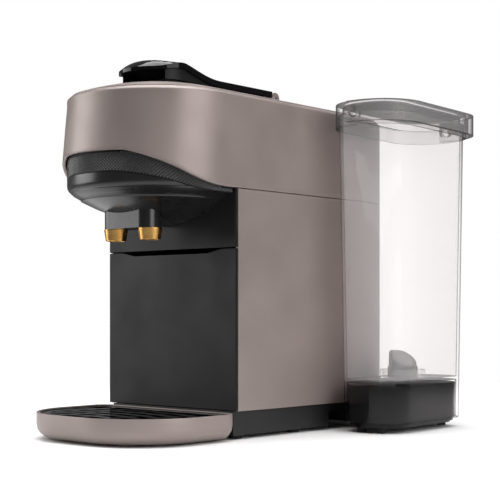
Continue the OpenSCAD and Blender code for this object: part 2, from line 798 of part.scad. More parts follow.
grid_z = tray_h - 3.2;
grid_t = 2.2;
rib_pitch = 7;
module drip_grid() color(black_c) {
    difference() {
        slab(grid_z, grid_z + grid_t) tray_plan(rim_t + 2.4);
        slab(grid_z - cut, grid_z + grid_t + cut) difference() {
            tray_plan(rim_t + 8);
            for (i = [0 : 4])
                translate([0, tray_front - 62]) difference() {
                    circle(tray_out + 62 - 18 - i * 14);
                    circle(tray_out + 62 - 18 - i * 14 - 6);
                }
            for (x = [-2 : 2])
                translate([x * 24 - 1.5, tray_front]) square([3, tray_out]);
        }
    }
    for (x = [-1, 1])
        translate([x * 40, tray_front + tray_out / 2 + 12, liner_z + liner_t])
            cylinder(r = 2, h = grid_z - liner_z - liner_t);
}

// ---------- capsule bin ----------

module bin_front() color(dark_c) {
    w = R - 0.5;
    translate([0, wall_y + panel_t, 0]) rotate([90, 0, 0]) linear_extrude(panel_t)
        polygon([[-w, bin_z], [w, bin_z], [w, bin_top - 0.8], [0.78 * w, bin_top - 0.8],
            [0.58 * w, bin_top - notch], [-0.58 * w, bin_top - notch], [-0.78 * w, bin_top - 0.8],
            [-w, bin_top - 0.8]]);
}

bin_t = 2;
bin_h = bin_top - 14 - bin_z;
module bin_box() color(black_c) difference() {
    translate([-bin_w / 2, wall_y + panel_t, bin_z]) cube([bin_w, bin_len, bin_h]);
    translate([-bin_w / 2 + bin_t, wall_y + panel_t + bin_t, bin_z + bin_t])
        cube([bin_w - 2 * bin_t, bin_len - 2 * bin_t, bin_h]);
}

// ---------- tank ----------

module turned() rotate([0, 0, tank_turn]) children();
module at_tank() turned() translate([tank_x, 0, 0]) children();

module swivel_arm() color(black_c) turned() {
    slab(arm_z, arm_z + arm_h) difference() {
        union() {
            circle(hub_r + run + ring_t);
            translate([0, -arm_w / 2]) square([R + tank_gap + arm_bite, arm_w]);
        }
        circle(hub_r + run);
    }
}

dock_w = tank_w - 2 * (tank_t + dock_in + tank_lean / 6);
dock_l = tank_l - 2 * (tank_t + dock_in + tank_lean);
dock_r = tank_r - tank_t - dock_in;
module tank_dock() color(black_c) at_tank() difference() {
    union() {
        slab(8, dock_h) round_rect(dock_w, dock_l, dock_r);
        slab(5.5, 8) round_rect(dock_w - 3, dock_l - 3, dock_r - 1.5);
        slab(4, 5.5) round_rect(dock_w - 8, dock_l - 8, dock_r - 4);
    }
    translate([0, 0, dock_h - 9]) cylinder(r = 9, h = 10);
    translate([R + tank_gap - tank_x - 20, -arm_w / 2, arm_z]) cube([20 + arm_bite, arm_w, arm_h]);
}

module dock_feet() color(black_c) at_tank()
    for (x = [-1, 1], y = [-1, 1])
        translate([x * 9, y * (dock_l / 2 - 10), 0]) cylinder(r = 3.5, h = 4);

module dock_seal() color(black_c) at_tank()
    translate([0, 0, dock_h - 9]) difference() {
        cylinder(r = 9, h = 4);
        translate([0, 0, -cut]) cylinder(r = 4, h = 4 + 2 * cut);
    }

function lean_at(z) = tank_lean * (tank_rim - z) / (tank_rim - skirt_z);
module tank_form(inset, z0, z1) {
    hull()
        for (z = [z0, z1 - 0.01], x = [-1, 1], y = [-1, 1])
            translate([x * (tank_w / 2 - tank_r - lean_at(z) / 6), y * (tank_l / 2 - tank_r - lean_at(z)), z])
                cylinder(r = tank_r - inset, h = 0.01, $fn = 64);
}

module water_tank() color(clear_c) at_tank() difference() {
    union() {
        difference() {
            tank_form(0, skirt_z, tank_rim);
            tank_form(tank_t, floor_z + floor_t, tank_rim + cut);
            tank_form(tank_t, skirt_z - cut, floor_z);
        }
        slab(floor_z + floor_t, floor_z + floor_t + 6.5) difference() {
            circle(collar_r);
            circle(collar_r - 2);
        }
    }
    translate([0, 0, floor_z - cut]) cylinder(r = 6, h = floor_t + 2 * cut);
    // room for the arm below the skirt
    translate([-tank_w, -arm_w / 2 - 2, skirt_z - cut]) cube([tank_w, arm_w + 4, arm_z + arm_h + 2 - skirt_z]);
}

intake_z = floor_z + floor_t;
module intake_filter() color(clear_c) at_tank() difference() {
    union() {
        slab(intake_z, intake_z + 9) circle(intake_r);
        slab(intake_z + 9, intake_z + 22) circle(intake_r - 1);
    }
    slab(intake_z - cut, intake_z + 30) circle(intake_r - 3);
    translate([-30, 0, intake_z + 15]) rotate([-35, 0, 0]) translate([0, -40, 0]) cube([60, 80, 30]);
}

module valve_plunger() color(dark_c) at_tank() {
    slab(floor_z - 1.4, intake_z) circle(6 - gap);
    slab(intake_z, intake_z + 2) circle(8);
}

module lid_plan(out) round_rect(tank_w + 2 * out, tank_l + 2 * out, tank_r + out);

module tank_lid() color(clear_c) at_tank() {
    difference() {
        slab(lid_z, lid_z + lid_h) lid_plan(lid_over + lid_t);
        slab(lid_z - cut, tank_rim + 1) lid_plan(lid_over);
        slab(tank_rim - cut, lid_z + lid_h - lid_t) lid_plan(lid_over - 3);
        slab(lid_z + lid_h - 1, lid_z + lid_h + cut) lid_plan(-4);
    }
    for (s = [-1, 1])
        translate([0, s * (tank_l / 2 + lid_over + lid_t), bail_z])
            rotate([-90 * s, 0, 0]) {
                cylinder(r = boss_r, h = bail_gap + bail_t + 0.6);
                cylinder(r = boss_r + 1.5, h = bail_gap - gap);
            }
}

module tank_handle() color(clear_c) at_tank() difference() {
    slab(bail_z - bail_h / 2, bail_z + bail_h / 2) difference() {
        intersection() {
            lid_plan(lid_over + lid_t + bail_gap + bail_t);
            translate([-6, -tank_l]) square([tank_w * 2, 2 * tank_l]);
        }
        lid_plan(lid_over + lid_t + bail_gap);
    }
    translate([0, -tank_l, bail_z]) rotate([-90, 0, 0]) cylinder(r = boss_r + run, h = 2 * tank_l);
}

// ---------- what is drawn ----------

base();
swivel_spindle();
feet();
base_screws();
lower_shell();
upper_shell();
top_cover();
front_panel();
texture_band();
head_underside();
spout_block();
spout_left();
spout_right();
bulkhead();
mid_deck();
deck_screws();
brew_chamber();
needle_plate();
coffee_duct();
guide_rods();
rod_bracket();
pump();
pump_dampers();
thermoblock();
flow_meter();
circuit_board();
suction_hose();
pressure_hose();
water_tube();
cord_gland();
hinge_pin();
button_board();
lever_plate();
lever_liner();
brew_piston();
piston_seal();
button_short();
button_long();
button_double();
tray_shell();
tray_liner();
drip_grid();
bin_front();
bin_box();
swivel_arm();
tank_dock();
dock_feet();
dock_seal();
water_tank();
intake_filter();
valve_plunger();
tank_lid();
tank_handle();
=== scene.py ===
import json
import math

import bmesh
import bpy
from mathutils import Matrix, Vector

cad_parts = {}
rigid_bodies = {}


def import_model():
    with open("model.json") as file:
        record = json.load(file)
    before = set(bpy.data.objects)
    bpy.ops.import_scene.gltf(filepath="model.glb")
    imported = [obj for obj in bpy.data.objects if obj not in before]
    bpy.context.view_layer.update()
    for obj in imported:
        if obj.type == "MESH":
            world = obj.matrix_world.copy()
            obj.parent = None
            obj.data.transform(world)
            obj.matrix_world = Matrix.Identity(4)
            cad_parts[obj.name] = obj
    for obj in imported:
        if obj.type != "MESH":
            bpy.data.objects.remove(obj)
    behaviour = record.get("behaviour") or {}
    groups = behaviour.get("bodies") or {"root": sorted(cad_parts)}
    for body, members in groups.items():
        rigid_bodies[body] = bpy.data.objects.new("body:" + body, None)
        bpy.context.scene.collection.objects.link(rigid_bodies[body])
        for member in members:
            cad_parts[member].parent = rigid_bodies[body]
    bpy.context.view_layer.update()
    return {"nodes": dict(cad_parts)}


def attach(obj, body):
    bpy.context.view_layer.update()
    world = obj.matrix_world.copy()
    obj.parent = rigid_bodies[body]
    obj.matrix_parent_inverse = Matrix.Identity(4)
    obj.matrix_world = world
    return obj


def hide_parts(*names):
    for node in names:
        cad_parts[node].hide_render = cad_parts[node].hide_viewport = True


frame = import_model()

MM = 0.001

# ---------- sizes of the machine, in millimetres ----------

R = 69.0                    # half width of the column and head
WALL_Y = -154.0             # the column's front wall
NOSE_C = -165.0             # centre of the nose's half round, at the height LEAN_Z
LEAN = math.radians(5.8)    # how far the nose's axis leans back as it goes down
LEAN_Z = 246.0
SPLIT_Z = 184.0             # parting line between the shells
SEAM = 0.4                  # gap at the parting line
CREASE_Z = 251.0            # where the upper shell turns in towards the cover
WALL = 2.6                  # thickness of the shells
BASE_H = 21.0               # the lower shell stands on the base at this height
PANEL_T = 2.2               # the lower shell's sides end behind the front panel
LIP_RISE = 23.5             # how far the upper shell's front edge climbs to the nose
BAND_C = -168.3             # centre of the textured band
BAND_R = 66.2
BAND_H = 14.5               # the band's height at the nose
BAND_DROP = 4.0             # and how far it reaches below the parting line at the wall
KNURL = 2.4                 # spacing of the band's pyramids in a row
KNURL_H = 0.42              # their height
KNURL_GAP = 0.9             # how far they stay below the shell's edge
SUNK = 0.03                 # how far their feet stand inside the band
PLATE_Z = 265.0             # underside of the lever
LEVER_TOP = 280.7
LEVER_NOSE = -196.0         # front of the lever
LEVER_R = 29.0              # its half round
LEVER_DROOP = 7.0           # how far the front of its rim falls below its crest
FLOOR_TOP = 41.1            # top of the tank's floor


# ---------- meshes ----------

def mesh_object(name, bm, sharp):
    """A mesh with smooth faces and hard edges where they turn by more than sharp degrees."""
    limit = math.radians(sharp)
    for face in bm.faces:
        face.smooth = True
    for edge in bm.edges:
        turned = len(edge.link_faces) == 2 and edge.calc_face_angle(0) > limit
        edge.smooth = not turned
    mesh = bpy.data.meshes.new(name)
    bm.to_mesh(mesh)
    bm.free()
    obj = bpy.data.objects.new(name, mesh)
    bpy.context.scene.collection.objects.link(obj)
    return obj


def loft(rings, looped=False):
    """Rings of points in millimetres joined by quads: a closed loop of them, or capped at both ends."""
    bm = bmesh.new()
    rows = [[bm.verts.new(Vector(p) * MM) for p in ring] for ring in rings]
    n = len(rows[0])
    pairs = list(zip(rows, rows[1:])) + ([(rows[-1], rows[0])] if looped else [])
    for one, other in pairs:
        for i in range(n):
            j = (i + 1) % n
            bm.faces.new((one[i], one[j], other[j], other[i]))
    if not looped:
        bm.faces.new(rows[0])
        bm.faces.new(rows[-1])
    bmesh.ops.recalc_face_normals(bm, faces=bm.faces)
    return bm


def copy_of(node):
    """A merged copy of a CAD node's mesh, with its flat faces made whole again."""
    bm = bmesh.new()
    bm.from_mesh(frame["nodes"][node].data)
    bmesh.ops.remove_doubles(bm, verts=bm.verts, dist=1e-6)
    bmesh.ops.dissolve_limit(bm, angle_limit=math.radians(0.3), verts=bm.verts, edges=bm.edges)
    return bm


def settled(obj):
    """The object with its modifiers made into a plain mesh."""
    graph = bpy.context.evaluated_depsgraph_get()
    mesh = bpy.data.meshes.new_from_object(obj.evaluated_get(graph))
    obj.modifiers.clear()
    obj.data = mesh
    return obj


def rounded(obj, width, segments=2):
    """Rounds the hard edges of a piece, as a mould or a cutter leaves them."""
    bevel = obj.modifiers.new("rounding", "BEVEL")
    bevel.width = width * MM
    bevel.segments = segments
    bevel.limit_method = "ANGLE"
    bevel.angle_limit = math.radians(38)
    bevel.harden_normals = True
    bevel.use_clamp_overlap = True
    return settled(obj)


def finished(obj, material, body, *nodes, slot):
    """Gives a piece its finish, its body and the CAD nodes that it stands for."""
    obj.data.materials.clear()
    obj.data.materials.append(material)
    for face in obj.data.polygons:
        face.material_index = 0
    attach(obj, body)
    if nodes:
        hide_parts(*nodes)


# ---------- paths that profiles are led along ----------

def nose_axis(z):
    """Where the nose's leaning axis stands at a height, and how much longer the round is there: its
    level section stretches as the lean begins, over the first 20 mm."""
    drop = max(0.0, LEAN_Z - z)
    return NOSE_C - drop * math.tan(LEAN), 1 + (1 / math.cos(LEAN) - 1) * min(1.0, drop / 20)


def nose_point(a):
    """A station on the nose's half round, at angle a from the machine's right."""
    def place(d, z):
        y, longer = nose_axis(z)
        return (d * math.cos(a), y + d * longer * math.sin(a), z)
    return place


def side_point(s, part):
    """A station on a side, part of the way from the column's middle to the nose."""
    return lambda d, z: (s * d, part * nose_axis(z)[0], z)


def rear_path():
    """Round the column's rear, from its left side to its right."""
    steps = 72

    def turn(a):
        return lambda d, z: (d * math.cos(a), d * math.sin(a), z)
    return [turn(math.pi - math.pi * i / steps) for i in range(steps + 1)]


def along_side(s, ys):
    """Stations on one side of the column, at each of the places ys."""
    return [(lambda d, z, y=y: (s * d, y, z)) for y in ys]


def head_loop():
    """All round the head: the nose from right to left, a side, the rear and the other side."""
    nose_steps, side_steps = 96, 24
    parts = [i / side_steps for i in range(1, side_steps)]
    nose = [nose_point(-math.pi * i / nose_steps) for i in range(nose_steps + 1)]
    return (nose + [side_point(-1, part) for part in reversed(parts)] + rear_path()
            + [side_point(1, part) for part in parts])


def lip(y):
    """How far the upper shell's front edge stands above the parting line: level beside the column,
    then a bend, then a steady climb to the nose, and nearly level again in front of it."""
    bend_y, bend_r, bend_a = WALL_Y - 10, 80.0, math.radians(26.6)
    end_y = bend_y - bend_r * math.sin(bend_a)
    end_z = bend_r * (1 - math.cos(bend_a))
    top_y, tail = WALL_Y - 77, 37.0
    if y >= bend_y:
        return 0.0
    if y >= end_y:
        a = math.asin((bend_y - y) / bend_r)
        return bend_r * (1 - math.cos(a))
    if y >= top_y:
        return end_z + (LIP_RISE - end_z) * (end_y - y) / (end_y - top_y)
    return LIP_RISE + (top_y - y) / tail


# ---------- materials ----------

def colour(code):
    """An sRGB hex value as linear RGBA."""
    parts = [int(code[i:i + 2], 16) / 255 for i in (1, 3, 5)]
    return tuple(p / 12.92 if p <= 0.04045 else ((p + 0.055) / 1.055) ** 2.4 for p in parts) + (1.0,)


def add(tree, kind, values=None, links=None, **settings):
    """Adds a node, sets what it is, its constants and what feeds it."""
    new = tree.nodes.new(kind)
    for key, value in settings.items():
        setattr(new, key, value)
    for key, value in (values or {}).items():
        new.inputs[key].default_value = value
    for key, (source, output) in (links or {}).items():
        tree.links.new(source.outputs[output], new.inputs[key])
    return new


def principled(name, **values):
    """A new material, its node tree and its shader, with the shader's constants set."""
    material = bpy.data.materials.new(name)
    material.use_nodes = True
    shader = material.node_tree.nodes["Principled BSDF"]
    for key, value in values.items():
        shader.inputs[key.replace("_", " ")].default_value = value
    return material, material.node_tree, shader


# A mix node's colour sockets share their names with its others, so they are named by place here.
MIX_A, MIX_B, MIX_OUT = 6, 7, 2


def moulded(name, light, dark, rough, grain, depth, metallic=0.0, coat=0.0, blotch=30.0,
            rough_spread=0.06, shine=0.5, wear=None):
    """A moulded or painted surface: a slow drift of colour, a fine grain and uneven gloss.
    grain and blotch are the sizes of the fine and the slow pattern in millimetres."""
    material, tree, shader = principled(name, Metallic=metallic, IOR=1.5, Specular_IOR_Level=shine,
                                        Coat_Weight=coat, Coat_Roughness=0.12)
    place = add(tree, "ShaderNodeTexCoord")
    slow = add(tree, "ShaderNodeTexNoise", {"Scale": 1 / (blotch * MM), "Detail": 2.0, "Roughness": 0.5},
               {"Vector": (place, "Object")})
    shade = add(tree, "ShaderNodeMix", {MIX_A: colour(dark), MIX_B: colour(light)}, {"Factor": (slow, "Fac")},
                data_type="RGBA")
    fine = add(tree, "ShaderNodeTexNoise", {"Scale": 1 / (grain * MM), "Detail": 3.0, "Roughness": 0.6},
               {"Vector": (place, "Object")})
    gloss = add(tree, "ShaderNodeMapRange", {"From Min": 0.3, "From Max": 0.7, "To Min": rough - rough_spread,
                                             "To Max": rough + rough_spread}, {"Value": (slow, "Fac")})
    bump = add(tree, "ShaderNodeBump", {"Strength": 1.0, "Distance": depth * MM}, {"Height": (fine, "Fac")})
    if wear:
        # edges that hands and cloths rub are a little lighter
        edge = add(tree, "ShaderNodeBevel", {"Radius": 0.8 * MM}, samples=4)
        flat = add(tree, "ShaderNodeNewGeometry")
        turn = add(tree, "ShaderNodeVectorMath", None, {0: (edge, "Normal"), 1: (flat, "Normal")},
                   operation="DOT_PRODUCT")
        rubbed = add(tree, "ShaderNodeMapRange",
                     {"From Min": 0.97, "From Max": 0.80, "To Min": 0.0, "To Max": 0.55},
                     {"Value": (turn, "Value")})
        shade = add(tree, "ShaderNodeMix", {MIX_B: colour(wear)},
                    {"Factor": (rubbed, "Result"), MIX_A: (shade, MIX_OUT)}, data_type="RGBA")
    tree.links.new(shade.outputs[MIX_OUT], shader.inputs["Base Color"])
    tree.links.new(gloss.outputs["Result"], shader.inputs["Roughness"])
    tree.links.new(bump.outputs["Normal"], shader.inputs["Normal"])
    return material


# Satin paint on moulded ABS: an even soft sheen with a faint pearl, no visible texture from afar.
painted_abs = moulded("satin_painted_abs_taupe", "#938682", "#8A7E7A", 0.44, 0.5, 0.004, metallic=0.35,
                      coat=0.05, wear="#998D86")
# Spark-eroded ABS for the dark panels: matt, with a fine grain that softens every highlight.
grained_abs = moulded("grained_abs_graphite", "#131314", "#0F0F10", 0.48, 0.35, 0.01, shine=0.22,
                      wear="#1D1D1E")
# The same dark ABS polished to satin, for the spouts' block: soft but clear highlights.
satin_abs = moulded("satin_abs_graphite", "#1C1C1E", "#161617", 0.26, 0.5, 0.004, shine=0.5, wear="#2A2A2B")
# The same dark ABS, moulded with a pyramid pattern that catches the light on its slopes.
knurled_abs = moulded("knurled_abs_graphite", "#2A2A2C", "#222224", 0.3, 0.3, 0.003)
# Polished black ABS: mirror-like, with long clean reflections.
gloss_abs = moulded("polished_abs_black", "#0B0B0C", "#070708", 0.08, 1.2, 0.0015, blotch=18,
                    rough_spread=0.02, shine=0.22)
# Black glass-filled nylon and other hidden mouldings: dull and slightly cloudy.
filled_nylon = moulded("glass_filled_nylon_black", "#161617", "#0F0F10", 0.55, 0.4, 0.03)
# Nitrile rubber: soft, dark and almost without gloss.
rubber = moulded("nitrile_rubber", "#121212", "#0B0B0B", 0.8, 0.6, 0.03)
# Gold-toned brass, turned and polished: warm, with faint rings from the tool.
brass = moulded("polished_brass", "#F0C27A", "#DDA658", 0.24, 0.25, 0.003, metallic=1.0, blotch=9)
# Zinc-plated steel: bright grey with soft streaks.
plated_steel = moulded("zinc_plated_steel", "#B9BBBE", "#A2A4A8", 0.3, 0.5, 0.004, metallic=1.0)
# Die-cast aluminium of the heater: pale, grainy and dull.
cast_alloy = moulded("die_cast_aluminium", "#9FA1A3", "#8B8D90", 0.5, 0.7, 0.03, metallic=1.0)
# Glass-fibre circuit board under green solder mask: glossy green over a faint weave.
solder_mask = moulded("solder_masked_board", "#1B5A34", "#14482A", 0.32, 0.8, 0.01, coat=0.3)
# Silicone hose: milky white and soft.
silicone = moulded("silicone_hose", "#D9DAD8", "#C8C9C6", 0.45, 0.8, 0.01)


def clear_plastic(name, tint, painted_edge_shade, edge_start, haze):
    """Thin clear walls: they let the view through and tint it a little, are slightly hazy, catch the
    light more at a slant, and carry painted shade where the wall turns away and is seen end on: the
    see-through colour is darkened there in place of the dark that refraction gives."""
    material, tree, shader = principled(name, Base_Color=colour("#FCFBFB"), IOR=1.57)
    place = add(tree, "ShaderNodeTexCoord")
    stretch = add(tree, "ShaderNodeMapping", {"Scale": (1.0, 1.0, 0.25)}, {"Vector": (place, "Object")})
    flow = add(tree, "ShaderNodeTexNoise", {"Scale": 1 / (40 * MM), "Detail": 1.0},
               {"Vector": (stretch, "Vector")})
    rough = add(tree, "ShaderNodeMapRange", {"To Min": 0.05, "To Max": 0.09}, {"Value": (flow, "Fac")})
    bump = add(tree, "ShaderNodeBump", {"Strength": 0.3, "Distance": 0.1 * MM}, {"Height": (flow, "Fac")})
    slant = add(tree, "ShaderNodeLayerWeight", {"Blend": 0.5}, {"Normal": (bump, "Normal")})
    # painted shade: the see-through colour darkens towards painted_edge_shade as the wall turns end on
    turned = add(tree, "ShaderNodeMapRange", {"From Min": edge_start, "From Max": 1.0},
                 {"Value": (slant, "Facing")}, interpolation_type="SMOOTHSTEP")
    through = add(tree, "ShaderNodeMix", {MIX_A: colour(tint), MIX_B: colour(painted_edge_shade)},
                  {"Factor": (turned, "Result")}, data_type="RGBA")
    passed = add(tree, "ShaderNodeBsdfTransparent", None, {"Color": (through, MIX_OUT)})
    tree.links.new(rough.outputs["Result"], shader.inputs["Roughness"])
    tree.links.new(bump.outputs["Normal"], shader.inputs["Normal"])
    # the moulding is a little hazy above the tank's floor, and clear around the dock
    height = add(tree, "ShaderNodeSeparateXYZ", None, {"Vector": (place, "Object")})
    hazy = add(tree, "ShaderNodeMapRange", {"From Min": (FLOOR_TOP - 3) * MM, "From Max": FLOOR_TOP * MM,
                                            "To Min": 0.004, "To Max": haze}, {"Value": (height, "Z")})
    grazing = add(tree, "ShaderNodeMath", {1: 4.0}, {0: (slant, "Facing")}, operation="POWER")
    rise = add(tree, "ShaderNodeMath", {1: 1.6, 2: 1.0}, {0: (grazing, "Value")}, operation="MULTIPLY_ADD")
    solid = add(tree, "ShaderNodeMath", None, {0: (rise, "Value"), 1: (hazy, "Result")}, operation="MULTIPLY")
    both = add(tree, "ShaderNodeMixShader", None,
               {"Fac": (solid, "Value"), 1: (passed, "BSDF"), 2: (shader, "BSDF")})
    tree.links.new(both.outputs["Shader"], tree.nodes["Material Output"].inputs["Surface"])
    return material


# SAN, as clear as glass, with painted shade darkening its edges where the wall is seen end on.
clear_san = clear_plastic("clear_san_moulding", "#FEFDFD", "#6E6A6B", 0.70, 0.10)
# The same plastic, tinted grey, for the intake.
tinted_san = clear_plastic("grey_tinted_san", "#B4B1B2", "#2E2C2D", 0.3, 0.05)
# The lid and its handle: thicker mouldings, with their edges painted darker still as shade.
lid_san = clear_plastic("clear_san_lid", "#F6F5F5", "#1E1C1D", 0.40, 0.06)

# ---------- knurling ----------

def knurl_tree():
    """Stands a four-sided pyramid on every point of a mesh, turned to the point's own directions."""
    tree = bpy.data.node_groups.new("knurling", "GeometryNodeTree")
    for name, kind in (("Geometry", "NodeSocketGeometry"), ("Reach", "NodeSocketFloat"),
                       ("Height", "NodeSocketFloat"), ("Seed", "NodeSocketInt"),
                       ("Finish", "NodeSocketMaterial")):
        tree.interface.new_socket(name, in_out="INPUT", socket_type=kind)
    tree.interface.new_socket("Geometry", in_out="OUTPUT", socket_type="NodeSocketGeometry")
    given = add(tree, "NodeGroupInput")
    out = add(tree, "GeometryNodeInputNamedAttribute", {"Name": "out"}, data_type="FLOAT_VECTOR")
    along = add(tree, "GeometryNodeInputNamedAttribute", {"Name": "along"}, data_type="FLOAT_VECTOR")
    turn = add(tree, "FunctionNodeAxesToRotation", None,
               {"Primary Axis": (out, "Attribute"), "Secondary Axis": (along, "Attribute")},
               primary_axis="Z", secondary_axis="X")
    pyramid = add(tree, "GeometryNodeMeshCone", {"Vertices": 4, "Radius Top": 0.0},
                  {"Radius Bottom": (given, "Reach"), "Depth": (given, "Height")})
    # a worn mould makes each pyramid very slightly lower or higher than the next
    size = add(tree, "FunctionNodeRandomValue", {"Min": (1.0, 1.0, 0.9), "Max": (1.0, 1.0, 1.0)},
               {"Seed": (given, "Seed")}, data_type="FLOAT_VECTOR")
    stood = add(tree, "GeometryNodeInstanceOnPoints", None,
                {"Points": (given, "Geometry"), "Instance": (pyramid, "Mesh"), "Rotation": (turn, "Rotation"),
                 "Scale": (size, "Value")})
    real = add(tree, "GeometryNodeRealizeInstances", None, {"Geometry": (stood, "Instances")})
    coated = add(tree, "GeometryNodeSetMaterial", None,
                 {"Geometry": (real, "Geometry"), "Material": (given, "Finish")})
    add(tree, "NodeGroupOutput", None, {"Geometry": (coated, "Geometry")})
    return tree


HALF_ROUND = math.pi * BAND_R / 2


def band_point(u):
    """The band's surface at a distance u from its middle: the place, outwards, and along it."""
    if abs(u) <= HALF_ROUND:
        a = u / BAND_R - math.pi / 2
        outwards = (math.cos(a), math.sin(a), 0)
        return (BAND_R * outwards[0], BAND_C + BAND_R * outwards[1]), outwards, (-outwards[1], outwards[0], 0)
    s = math.copysign(1, u)
    return (s * BAND_R, BAND_C + abs(u) - HALF_ROUND), (s, 0, 0), (0, s, 0)


# rows of pyramids follow the band's lower edge, every other one moved by half a spacing, and end
# below the shell's edge, which stands a little farther out
pitch = KNURL / 2
columns = int((HALF_ROUND + WALL_Y - BAND_C) / pitch)
points, outs, alongs = [], [], []
for i in range(-columns + 1, columns):
    (x, y), out, along = band_point(i * pitch)
    low = SPLIT_Z - BAND_DROP + lip(y) * (LIP_RISE + BAND_DROP - BAND_H) / LIP_RISE
    shell_edge = SPLIT_Z + lip(y * R / BAND_R)
    row = 1
    while low + row * pitch < shell_edge - KNURL_GAP:
        if (i + row) % 2 == 0:
            points.append((x - SUNK * out[0], y - SUNK * out[1], low + row * pitch))
            outs.append(out)
            alongs.append(along)
        row += 1
seeds = bpy.data.meshes.new("band_knurl")
seeds.from_pydata([Vector(p) * MM for p in points], [], [])
for name, values in (("out", outs), ("along", alongs)):
    field = seeds.attributes.new(name, "FLOAT_VECTOR", "POINT")
    field.data.foreach_set("vector", [v for value in values for v in value])
knurl = bpy.data.objects.new("band_knurl", seeds)
bpy.context.scene.collection.objects.link(knurl)
stander = knurl.modifiers.new("knurling", "NODES")
stander.node_group = knurl_tree()
sockets = {item.name: item.identifier for item in stander.node_group.interface.items_tree
           if item.in_out == "INPUT"}
for name, value in (("Reach", pitch * MM), ("Height", KNURL_H * MM), ("Seed", 7), ("Finish", knurled_abs)):
    stander[sockets[name]] = value
settled(knurl)
finished(knurl, knurled_abs, "machine", slot="dark")

# ---------- upper shell ----------

SHELL_SHARP = 40            # degrees past which an edge of the shells is drawn hard


def shell_profile(zl):
    """Across the upper shell's wall as (distance from the middle, height): up the outside from its
    lower edge zl, in over the shoulder, and down the ledge that carries the cover."""
    return [(R - WALL, zl + 0.3), (R - WALL + 0.4, zl), (R - 0.9, zl), (R - 0.3, zl + 0.25), (R, zl + 0.9),
            (R, zl + 3), (R, CREASE_Z - 20), (R, LEAN_Z), (R, CREASE_Z - 3), (R, CREASE_Z - 0.8),
            (R - 0.12, CREASE_Z - 0.2), (R - 0.5, CREASE_Z + 0.35), (R - 2.4, CREASE_Z + 2.05),
            (R - 2.85, CREASE_Z + 2.2), (R - 3.0, CREASE_Z + 1.9), (R - 3.0, CREASE_Z), (R - 7, CREASE_Z),
            (R - 7, CREASE_Z - 2.5), (R - WALL, CREASE_Z - 5)]


def edge_height(place):
    """The height of the shell's lower edge at a station whose place shifts with height: each round
    brings the two closer to agreement."""
    z = SPLIT_Z
    for _ in range(6):
        z = SPLIT_Z + lip(place(R, z)[1])
    return z


rings = [[place(d, z) for d, z in shell_profile(edge_height(place))] for place in head_loop()]
upper_shell = mesh_object("upper_shell_skin", loft(rings, looped=True), SHELL_SHARP)
finished(upper_shell, painted_abs, "machine", "upper_shell", slot="shell")

# ---------- lower shell ----------

z0, z1 = BASE_H, SPLIT_Z - SEAM
side_profile = [(R - WALL, z0 + 0.2), (R - WALL + 0.2, z0), (R - 0.7, z0), (R - 0.2, z0 + 0.2), (R, z0 + 0.7),
                (R, z0 + 3), (R, z1 - 3), (R, z1 - 0.7), (R - 0.2, z1 - 0.2), (R - 0.7, z1),
                (R - WALL + 0.2, z1), (R - WALL, z1 - 0.2)]
front_y = WALL_Y + PANEL_T
side_y = front_y + 6
ys = [front_y + 0.001, front_y + 0.6] + [side_y - side_y * i / 20 for i in range(20)]
stations = along_side(-1, ys) + rear_path() + along_side(1, reversed(ys))
rings = [[place(d, z) for d, z in side_profile] for place in stations]
lower_shell = mesh_object("lower_shell_skin", loft(rings), SHELL_SHARP)
finished(lower_shell, painted_abs, "machine", "lower_shell", slot="shell")

# ---------- everything else from its CAD node, with its edges rounded ----------

PART_SHARP = 32             # degrees, as above, for the other pieces

# node: (finish, material slot, radius of its edges in millimetres)
PARTS = {
    "top_cover": (painted_abs, "shell", 0.35), "tray_shell": (painted_abs, "shell", 0.4),
    "front_panel": (grained_abs, "dark", 0.4), "bin_front": (grained_abs, "dark", 0.4),
    "texture_band": (grained_abs, "dark", 0.2), "head_underside": (satin_abs, "dark", 0.3),
    "spout_block": (satin_abs, "dark", 0.7), "spout_left": (brass, "brass", 0.3),
    "spout_right": (brass, "brass", 0.3), "lever_plate": (gloss_abs, "gloss", 1.3),
    "lever_liner": (grained_abs, "black", 0.4), "button_short": (gloss_abs, "gloss", 0.5),
    "button_long": (gloss_abs, "gloss", 0.5), "button_double": (gloss_abs, "gloss", 0.5),
    "tray_liner": (filled_nylon, "black", 0.3), "drip_grid": (gloss_abs, "black", 0.5),
    "bin_box": (filled_nylon, "black", 0.4), "swivel_arm": (filled_nylon, "black", 0.5),
    "tank_dock": (gloss_abs, "gloss", 1.0), "dock_feet": (rubber, "rubber", 0.5),
    "dock_seal": (rubber, "rubber", 0.3), "water_tank": (clear_san, "clear", 0.4),
    "intake_filter": (tinted_san, "clear", 0.2), "valve_plunger": (filled_nylon, "black", 0.3),
    "tank_lid": (lid_san, "clear", 0.5), "tank_handle": (lid_san, "clear", 0.8),
    "base": (filled_nylon, "black", 0.6), "swivel_spindle": (filled_nylon, "black", 0.3),
    "feet": (rubber, "rubber", 0.5), "base_screws": (plated_steel, "steel", 0.2),
    "bulkhead": (filled_nylon, "black", 0.3), "mid_deck": (filled_nylon, "black", 0.3),
    "deck_screws": (plated_steel, "steel", 0.2), "brew_chamber": (filled_nylon, "black", 0.5),
    "needle_plate": (plated_steel, "steel", 0.15), "coffee_duct": (filled_nylon, "black", 0.4),
    "guide_rods": (plated_steel, "steel", 0.3), "rod_bracket": (filled_nylon, "black", 0.5),
    "pump": (plated_steel, "steel", 0.4), "pump_dampers": (rubber, "rubber", 0.5),
    "thermoblock": (cast_alloy, "alloy", 0.5), "flow_meter": (filled_nylon, "black", 0.4),
    "circuit_board": (solder_mask, "board", 0.2), "suction_hose": (silicone, "hose", 0.0),
    "pressure_hose": (silicone, "hose", 0.0), "water_tube": (plated_steel, "steel", 0.2),
    "cord_gland": (rubber, "rubber", 0.4), "hinge_pin": (plated_steel, "steel", 0.3),
    "button_board": (solder_mask, "board", 0.2), "brew_piston": (filled_nylon, "black", 0.5),
    "piston_seal": (rubber, "rubber", 0.3),
}


